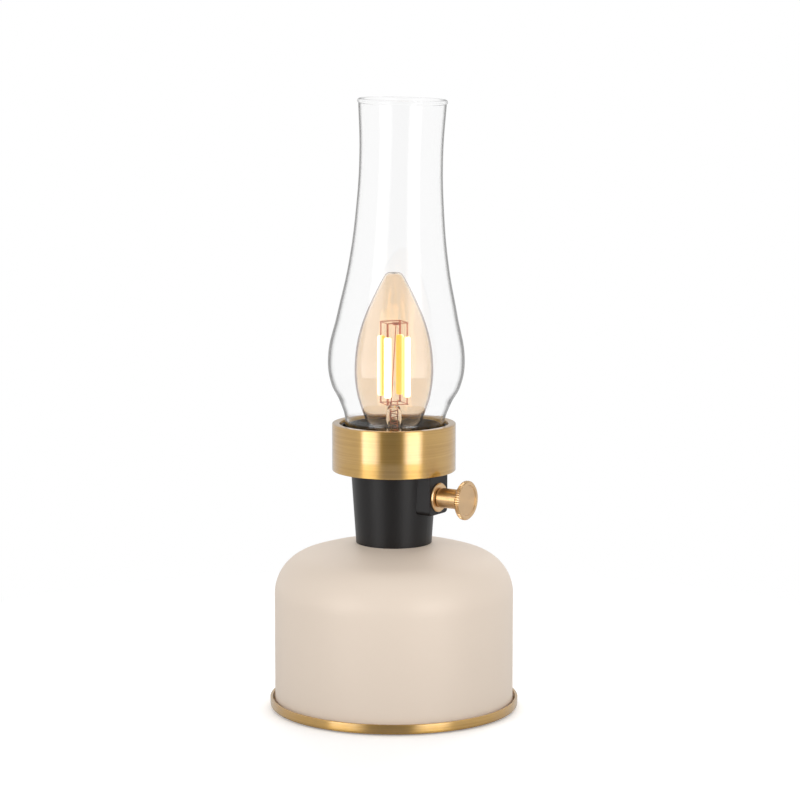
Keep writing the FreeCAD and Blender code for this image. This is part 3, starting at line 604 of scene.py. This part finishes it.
def mark_outside(bm, lip_from=math.inf):
    """Marks the faces that look away from the axis, and a lip, where the glass takes a painted dark
    edge.
    """
    layer = bm.faces.layers.float.new("outside")
    for face in bm.faces:
        middle = face.calc_center_median()
        away = Vector((middle.x, middle.y, 0)).normalized()
        if middle.z > lip_from * MM:
            face[layer] = LIP_SHARE
        else:
            face[layer] = 1.0 if face.normal.dot(away) > FACING_AWAY else 0.0


mark_outside(bm, lip_z - LIP_R)
dress(bm, "chimney_blown", "clear_glass", "chimney_body", "chimney_glass")

# %% [markdown]
# ## The bulb's glass
# A candle envelope is blown in one with its tip, thin and faintly amber. A stretched sphere has the
# wrong taper, so the outline is a smooth neck and then four arcs that run into each other: each
# starts at the heading at which the last one ends. Here the wall is even, so a solidify makes it.

# %% Bulb envelope
BULB_Z, ENVELOPE_WALL, ENVELOPE_AROUND = 98.361, 0.8, 128
NECK = [(6.8, 21.6), (6.8, 23.5), (9.0, 26.6), (11.75, 29.0), (13.3, 33.0)]
LOWER_R, UPPER_R, TAPER_R, TIP_R = 49.53, 65.12, 154.0, 3.2
LOWER_SWEEP, UPPER_SWEEP, TAPER_SWEEP = 23.19, 23.05, 6.65
BELLY_STEPS, TAPER_STEPS = 12, 6


def swing_on(bm, last, radius, from_degrees, to_degrees, steps):
    """Carries the outline on as an arc that starts and ends at given headings."""
    heading = math.radians(from_degrees)
    centre_r = last.co.x / MM - radius * math.cos(heading)
    centre_z = last.co.z / MM - radius * math.sin(heading)
    return swing(bm, last, centre_r, centre_z, to_degrees - from_degrees, steps)


bm = bmesh.new()
sweep = math.radians(LOWER_SWEEP)
point = smooth_outline(bm, [(r, BULB_Z + h) for r, h in NECK], UP,
                       (math.sin(sweep), math.cos(sweep)))[1]
point = swing_on(bm, point, LOWER_R, -LOWER_SWEEP, 0, BELLY_STEPS)
point = swing_on(bm, point, UPPER_R, 0, UPPER_SWEEP, BELLY_STEPS)
point = swing_on(bm, point, TAPER_R, UPPER_SWEEP, UPPER_SWEEP + TAPER_SWEEP, TAPER_STEPS)
point = swing_on(bm, point, TIP_R, UPPER_SWEEP + TAPER_SWEEP, 90, TAPER_STEPS)
print("tip of the envelope at r", round(point.co.x / MM, 2), "h", round(point.co.z / MM - BULB_Z, 2))
to_point(bm, point, 0, point.co.z / MM)
spin_round(bm, ENVELOPE_AROUND)
bmesh.ops.solidify(bm, geom=bm.faces[:], thickness=ENVELOPE_WALL * MM)
bmesh.ops.recalc_face_normals(bm, faces=bm.faces)
print("widest", round(max(vert.co.x for vert in bm.verts) / MM, 2), "mm")
mark_outside(bm)
dress(bm, "envelope_candle", "amber_glass", "bulb_body", "bulb_envelope")

# %% [markdown]
# ## The stem of the bulb
# A hollow stem of clear glass is sealed into the bulb's neck and carries the wires. A solid rod would
# act as a lens and hide them, so its outline goes up outside and comes down inside.

# %% Stem
STEM_AROUND = 48
STEM_OUTSIDE = [(5.9, 21.6), (5.7, 22.6), (4.4, 24.4), (3.4, 26.6), (3.4, 34.2), (2.6, 36.4),
                (1.2, 37.5), (0, 37.6)]
STEM_INSIDE = [(0, 36.7), (1.4, 35.8), (2.7, 33.6), (2.7, 26.8), (3.7, 24.8), (5.0, 22.9),
               (5.2, 21.6)]

bm = from_points([(r, BULB_Z + h) for r, h in STEM_OUTSIDE + STEM_INSIDE], close=False)
bm.verts.ensure_lookup_table()
bm.edges.new((bm.verts[-1], bm.verts[0]))
on_axis = [edge for edge in bm.edges if all(vert.co.x < SAME_SPOT * MM for vert in edge.verts)]
bmesh.ops.delete(bm, geom=on_axis, context="EDGES")
spin_round(bm, STEM_AROUND)
mark_outside(bm)
dress(bm, "stem_glass", "clear_glass", "bulb_body", "bulb_stem")

# %% [markdown]
# ## Filament sticks
# Four straight sticks stand in a square, each a rod of phosphor over its row of diodes. A plain
# cylinder has hard ends that catch no light, so a bevel rounds them, as the dipped coat is.

# %% Filaments
STICK_R, STICK_END_R, STICK_Z, STICK_LENGTH, STICK_SIDES = 1.7, 0.9, 139.461, 26.3, 32
STICK_ANGLES = [8.0 + 90 * index for index in range(4)]

bm = bmesh.new()
for angle in STICK_ANGLES:
    spot = Matrix.Rotation(math.radians(angle), 4, "Z") @ Vector((FILAMENT_CIRCLE_R * MM, 0, 0))
    middle = Matrix.Translation(spot + Vector((0, 0, (STICK_Z + STICK_LENGTH / 2) * MM)))
    bmesh.ops.create_cone(bm, cap_ends=True, segments=STICK_SIDES, radius1=STICK_R * MM,
                          radius2=STICK_R * MM, depth=STICK_LENGTH * MM, matrix=middle)
soften(bm, STICK_END_R, 4)
dress(bm, "filament_sticks", "glowing_filament", "bulb_body", "bulb_filaments")

# %% [markdown]
# ## Wires of the bulb
# Copper-clad wire comes up through the glass stem and carries two square frames. Each stick hangs
# between them by a flat tab at both ends. A lead crosses from the stem to the upper frame, where it
# is wound round the wire. Wires could be spun or extruded from circles, but a curve with a round
# bevel draws each one from the few spots that it passes.

# %% Draw a wire
WIRE, LEAD_WIRE = 0.46, 0.5


def draw_wire(bm, spots, thickness, kind="POLY", closed=False):
    """Adds a round wire through (x, y, z) spots in millimetres."""
    curve = bpy.data.curves.new("wire", "CURVE")
    curve.dimensions = "3D"
    curve.bevel_depth, curve.bevel_resolution = thickness / 2 * MM, 2
    curve.use_fill_caps = True
    spline = curve.splines.new(kind)
    spline.points.add(len(spots) - 1)
    for point, spot in zip(spline.points, spots):
        point.co = (spot[0] * MM, spot[1] * MM, spot[2] * MM, 1.0)
    spline.use_cyclic_u = closed
    if kind == "NURBS":
        spline.order_u, spline.use_endpoint_u = 3, True
    drawn = bpy.data.objects.new("wire", curve)
    bpy.context.scene.collection.objects.link(drawn)
    made = as_mesh(drawn)
    bm.from_mesh(made)
    bpy.data.meshes.remove(made)


def around(degrees, radius, height):
    """The spot at a heading and a distance from the axis, in millimetres."""
    turn = math.radians(degrees)
    return Vector((radius * math.cos(turn), radius * math.sin(turn), height))


# %% Frames and tabs
LOWER_FRAME_Z, UPPER_FRAME_Z, FRAME_R = 136.4, 171.9, 6.8
TAB_WIDTH, TAB_THICK, TAB_IN_STICK, TAB_OUT = 0.9, 0.3, 0.5, 0.2

bm = bmesh.new()
for frame_z in (LOWER_FRAME_Z, UPPER_FRAME_Z):
    draw_wire(bm, [around(angle, FRAME_R, frame_z) for angle in STICK_ANGLES], WIRE, closed=True)
tabs = ((LOWER_FRAME_Z, STICK_Z + TAB_IN_STICK),
        (STICK_Z + STICK_LENGTH - TAB_IN_STICK, UPPER_FRAME_Z))
for angle in STICK_ANGLES:
    for low_end, high_end in tabs:
        spot = around(angle, FILAMENT_CIRCLE_R + TAB_OUT, (low_end + high_end) / 2) * MM
        shape = Matrix.Diagonal((TAB_THICK * MM, TAB_WIDTH * MM, (high_end - low_end) * MM, 1))
        bmesh.ops.create_cube(bm, size=1, matrix=Matrix.Translation(spot) @
                              Matrix.Rotation(math.radians(angle), 4, "Z") @ shape)
print("frames and tabs:", len(bm.faces), "faces")

# %% Knot and slanted lead
KNOT_SHARE, KNOT_R, KNOT_LENGTH, KNOT_TURNS = 0.42, 0.62, 3.2, 4
LEAD_X, LEAD_Y, LEAD_FOOT, LEAD_LEAVES = -1.1, -0.7, 122, 134
UPWARDS = Vector((0, 0, 1))

left = around(STICK_ANGLES[3], FRAME_R, UPPER_FRAME_Z)
right = around(STICK_ANGLES[0], FRAME_R, UPPER_FRAME_Z)
knot = left.lerp(right, KNOT_SHARE)
along = (right - left).normalized()
beside = along.cross(UPWARDS)
turns = [2 * math.pi * step / 10 for step in range(10 * KNOT_TURNS + 1)]
draw_wire(bm, [knot + along * KNOT_LENGTH * (turn / turns[-1] - 0.5)
               + (beside * math.cos(turn) + UPWARDS * math.sin(turn)) * KNOT_R
               for turn in turns], WIRE)
draw_wire(bm, [(LEAD_X, LEAD_Y, LEAD_FOOT), (LEAD_X, LEAD_Y, LEAD_LEAVES), knot], WIRE)

# %% Curl and leads
CURL_TURNS, CURL_FROM, CURL_TO, CURL_R = 5, 120.5, 133.5, 1.7
LEAD_SPOTS = [(1.4, 0.9, 120), (1.9, 0.6, 124), (0.8, 1.5, 128), (1.6, 0.8, 132), (1.2, 0.8, 136.5)]
BEND_R, BEND_RISE = 4.2, 1.4

curl = [2 * math.pi * step / 12 for step in range(12 * CURL_TURNS + 1)]
draw_wire(bm, [(CURL_R * math.cos(turn), CURL_R * math.sin(turn),
                CURL_FROM + (CURL_TO - CURL_FROM) * turn / curl[-1]) for turn in curl], WIRE)
for side, corner in ((1, STICK_ANGLES[1]), (-1, STICK_ANGLES[3])):
    draw_wire(bm, [(side * x, side * y, z) for x, y, z in LEAD_SPOTS]
              + [around(corner, BEND_R, LOWER_FRAME_Z + BEND_RISE),
                 around(corner, FRAME_R, LOWER_FRAME_Z)], LEAD_WIRE, "NURBS")
dress(bm, "wires_copper_clad", "nickel_wire", "bulb_body", "bulb_wires")

# %% [markdown]
# ## The floor
# The lamp stands on white ground that fades into a white wall. A backdrop with a curve would show
# its edge in the glass, so the ground is one disc: to the eye, and through glass, it is a matt white
# that takes the lamp's shadow and turns pure white further out. To the brass it is a satin grey.

# %% Floor
GROUND_R, FADE_FROM, FADE_TO = 0.45, 0.15, 0.30
LIFT = 0.22                 # light that the matt white gives off, so that only a shadow is grey

bm = bmesh.new()
bmesh.ops.create_circle(bm, cap_ends=True, segments=96, radius=GROUND_R)
ground_mesh = bpy.data.meshes.new("ground")
bm.to_mesh(ground_mesh)
bm.free()
ground = bpy.data.objects.new("ground", ground_mesh)
bpy.context.scene.collection.objects.link(ground)

material, tree, place = new_material("ground_white")
satin = add_node(tree, "BsdfPrincipled", {"Base Color": hex_colour("#d0d0d0"), "Roughness": 0.12,
                                          "IOR": 1.5})
matt = add_node(tree, "BsdfDiffuse", {"Color": hex_colour("#f8f8f8")})
lift = add_node(tree, "Emission", {"Strength": LIFT})
near = add_node(tree, "AddShader", {0: matt.outputs[0], 1: lift.outputs[0]})
white = add_node(tree, "Emission", {"Strength": 1.0})
distance = add_node(tree, "VectorMath", {0: place}, operation="LENGTH")
far = add_node(tree, "MapRange", {"Value": distance.outputs["Value"], "From Min": FADE_FROM,
                                  "From Max": FADE_TO})
pale = add_node(tree, "MixShader", {0: far.outputs[0], 1: near.outputs[0], 2: white.outputs[0]})
path = add_node(tree, "LightPath")
seen = add_node(tree, "Math", {0: path.outputs["Is Camera Ray"],
                               1: path.outputs["Is Transmission Ray"]}, operation="MAXIMUM")
either = add_node(tree, "MixShader", {0: seen.outputs[0], 1: satin.outputs[0], 2: pale.outputs[0]})
add_node(tree, "OutputMaterial", {"Surface": either.outputs[0]})
ground_mesh.materials.append(material)

# %% [markdown]
# ## The studio round the lamp
# Two tall soft boxes stand in front, left and right of the camera, with a dark gap between them:
# that is what draws the two bright bands on the brass. Panels with a mesh would do it too, but the
# world can hold them as levels by heading and by height, with soft edges and no noise.

# %% Start the world, with levels that follow a value
CAMERA_AZIMUTH = math.radians(33.1)


def levels(tree, value, low, high, stops):
    """A grey that follows a value by (value, level) stops."""
    share = add_node(tree, "MapRange", {"Value": value, "From Min": low, "From Max": high})
    made = add_node(tree, "ValToRGB", {0: share.outputs[0]})
    ramp = made.color_ramp
    ramp.elements.remove(ramp.elements[1])
    for index, (spot, level) in enumerate(stops):
        at = (spot - low) / (high - low)
        stop = ramp.elements[0] if index == 0 else ramp.elements.new(at)
        stop.position, stop.color = at, (level, level, level, 1)
    return made.outputs[0]


world = bpy.data.worlds.new("studio")
bpy.context.scene.world = world
world.use_nodes = True
tree = world.node_tree
tree.nodes.clear()

# %% Heading and height of a ray
towards_camera = (math.sin(CAMERA_AZIMUTH), -math.cos(CAMERA_AZIMUTH), 0.0)
to_the_right = (math.cos(CAMERA_AZIMUTH), math.sin(CAMERA_AZIMUTH), 0.0)
way = add_node(tree, "TexCoord").outputs["Generated"]
ahead = add_node(tree, "VectorMath", {0: way, 1: towards_camera}, operation="DOT_PRODUCT")
aside = add_node(tree, "VectorMath", {0: way, 1: to_the_right}, operation="DOT_PRODUCT")
turn = add_node(tree, "Math", {0: aside.outputs["Value"], 1: ahead.outputs["Value"]},
                operation="ARCTAN2")
heading = add_node(tree, "Math", {0: turn.outputs[0]}, operation="DEGREES").outputs[0]
height = add_node(tree, "SeparateXYZ", {0: way}).outputs["Z"]

# %% Walls and soft boxes of the world
# (degrees right of the camera, level), and for the heights (sine of the elevation, level)
SIDES = [(-180, 0.62), (-110, 0.84), (-64, 0.84), (-34, 0.50), (-20, 0.22), (12, 0.22), (24, 0.50),
         (56, 0.84), (110, 0.84), (180, 0.62)]
BOXES = [(-64, 0.0), (-58, 1.0), (-36, 0.8), (-24, 0.0), (16, 0.0), (27, 1.0), (46, 1.0),
         (56, 0.0)]
BOX_HEIGHTS = [(-0.36, 0.0), (-0.28, 1.0), (-0.04, 1.0), (0.08, 0.8), (0.36, 0.8), (0.50, 0.0)]
BOX_LEVEL, PLAIN_LEVEL = 4.0, 0.66

lit = add_node(tree, "Math", {0: levels(tree, heading, -180, 180, BOXES),
                              1: levels(tree, height, -1, 1, BOX_HEIGHTS)}, operation="MULTIPLY")
studio = add_node(tree, "Math", {0: lit.outputs[0], 1: BOX_LEVEL,
                                 2: levels(tree, heading, -180, 180, SIDES)},
                  operation="MULTIPLY_ADD")
print("boxes in the world:", BOX_LEVEL, "over walls of up to", max(level for _, level in SIDES))

# %% What each kind of ray sees
# The eye sees white, also through glass. Reflections see the studio, and matt surfaces plain grey.
path = add_node(tree, "LightPath")
plain = add_node(tree, "Mix", {FACTOR: path.outputs["Is Glossy Ray"],
                               COLOUR_A: (PLAIN_LEVEL, PLAIN_LEVEL, PLAIN_LEVEL, 1),
                               COLOUR_B: studio.outputs[0]}, data_type="RGBA")
seen = add_node(tree, "Math", {0: path.outputs["Is Camera Ray"],
                               1: path.outputs["Is Transmission Ray"]}, operation="MAXIMUM")
colour = add_node(tree, "Mix", {FACTOR: seen.outputs[0], COLOUR_A: plain.outputs[MIXED],
                                COLOUR_B: (1, 1, 1, 1)}, data_type="RGBA")
sky = add_node(tree, "Background", {"Color": colour.outputs[MIXED], "Strength": 1.0})
add_node(tree, "OutputWorld", {"Surface": sky.outputs[0]})
print("world:", world.name, len(tree.nodes), "nodes")

# %% [markdown]
# ## Lamps
# The world gives no shadow, so three area lamps shape the matt surfaces: a tall one left of the
# camera, a wider one right of it and one behind. Point lamps would draw hard shadows. The lamps are
# hidden from reflections and from glass, where the world's soft boxes already show.

# %% Soft boxes
AIM_AT = Vector((0, 0, 0.12))


def soft_box(name, turn, height, distance, width, tall, power):
    """A lit panel that faces the lantern, so many degrees to the right of the camera."""
    lamp = bpy.data.lights.new(name, "AREA")
    lamp.shape = "RECTANGLE"
    lamp.size, lamp.size_y, lamp.energy = width, tall, power
    box = bpy.data.objects.new(name, lamp)
    box.visible_glossy = box.visible_transmission = False
    bpy.context.scene.collection.objects.link(box)
    heading = CAMERA_AZIMUTH + math.radians(turn)
    box.location = (distance * math.sin(heading), -distance * math.cos(heading), height)
    box.rotation_euler = (AIM_AT - box.location).to_track_quat("-Z", "Y").to_euler()
    print(name, power, "W,", width, "x", tall, "m")


soft_box("soft_box_left", -46, 0.40, 1.2, 0.40, 1.0, 5.2)
soft_box("soft_box_right", 46, 0.26, 1.2, 0.60, 0.9, 5.8)
soft_box("soft_box_back", 172, 0.60, 0.9, 1.1, 0.4, 6.5)

# %% [markdown]
# ## Camera
# A long lens from a good metre away keeps the lamp's sides nearly parallel. Place and lens could be
# found by eye, but these numbers come from fitting the lamp's known sizes to where they appear.

# %% Place the camera
CAMERA_REACH, CAMERA_HEIGHT, CAMERA_PITCH = 1.3256, 0.3336, 0.14686

camera = bpy.data.cameras.new("camera")
camera.lens, camera.sensor_width = 137.3, 36.0
camera.shift_x = 0.0076
stand = bpy.data.objects.new("camera", camera)
bpy.context.scene.collection.objects.link(stand)
stand.location = (CAMERA_REACH * math.sin(CAMERA_AZIMUTH),
                  -CAMERA_REACH * math.cos(CAMERA_AZIMUTH), CAMERA_HEIGHT)
stand.rotation_euler = (math.pi / 2 - CAMERA_PITCH, 0, CAMERA_AZIMUTH)
bpy.context.scene.camera = stand
bpy.context.scene.view_settings.view_transform = "Standard"
print("camera:", camera.lens, "mm lens,", round(stand.location.length, 3), "m from the lamp's foot")
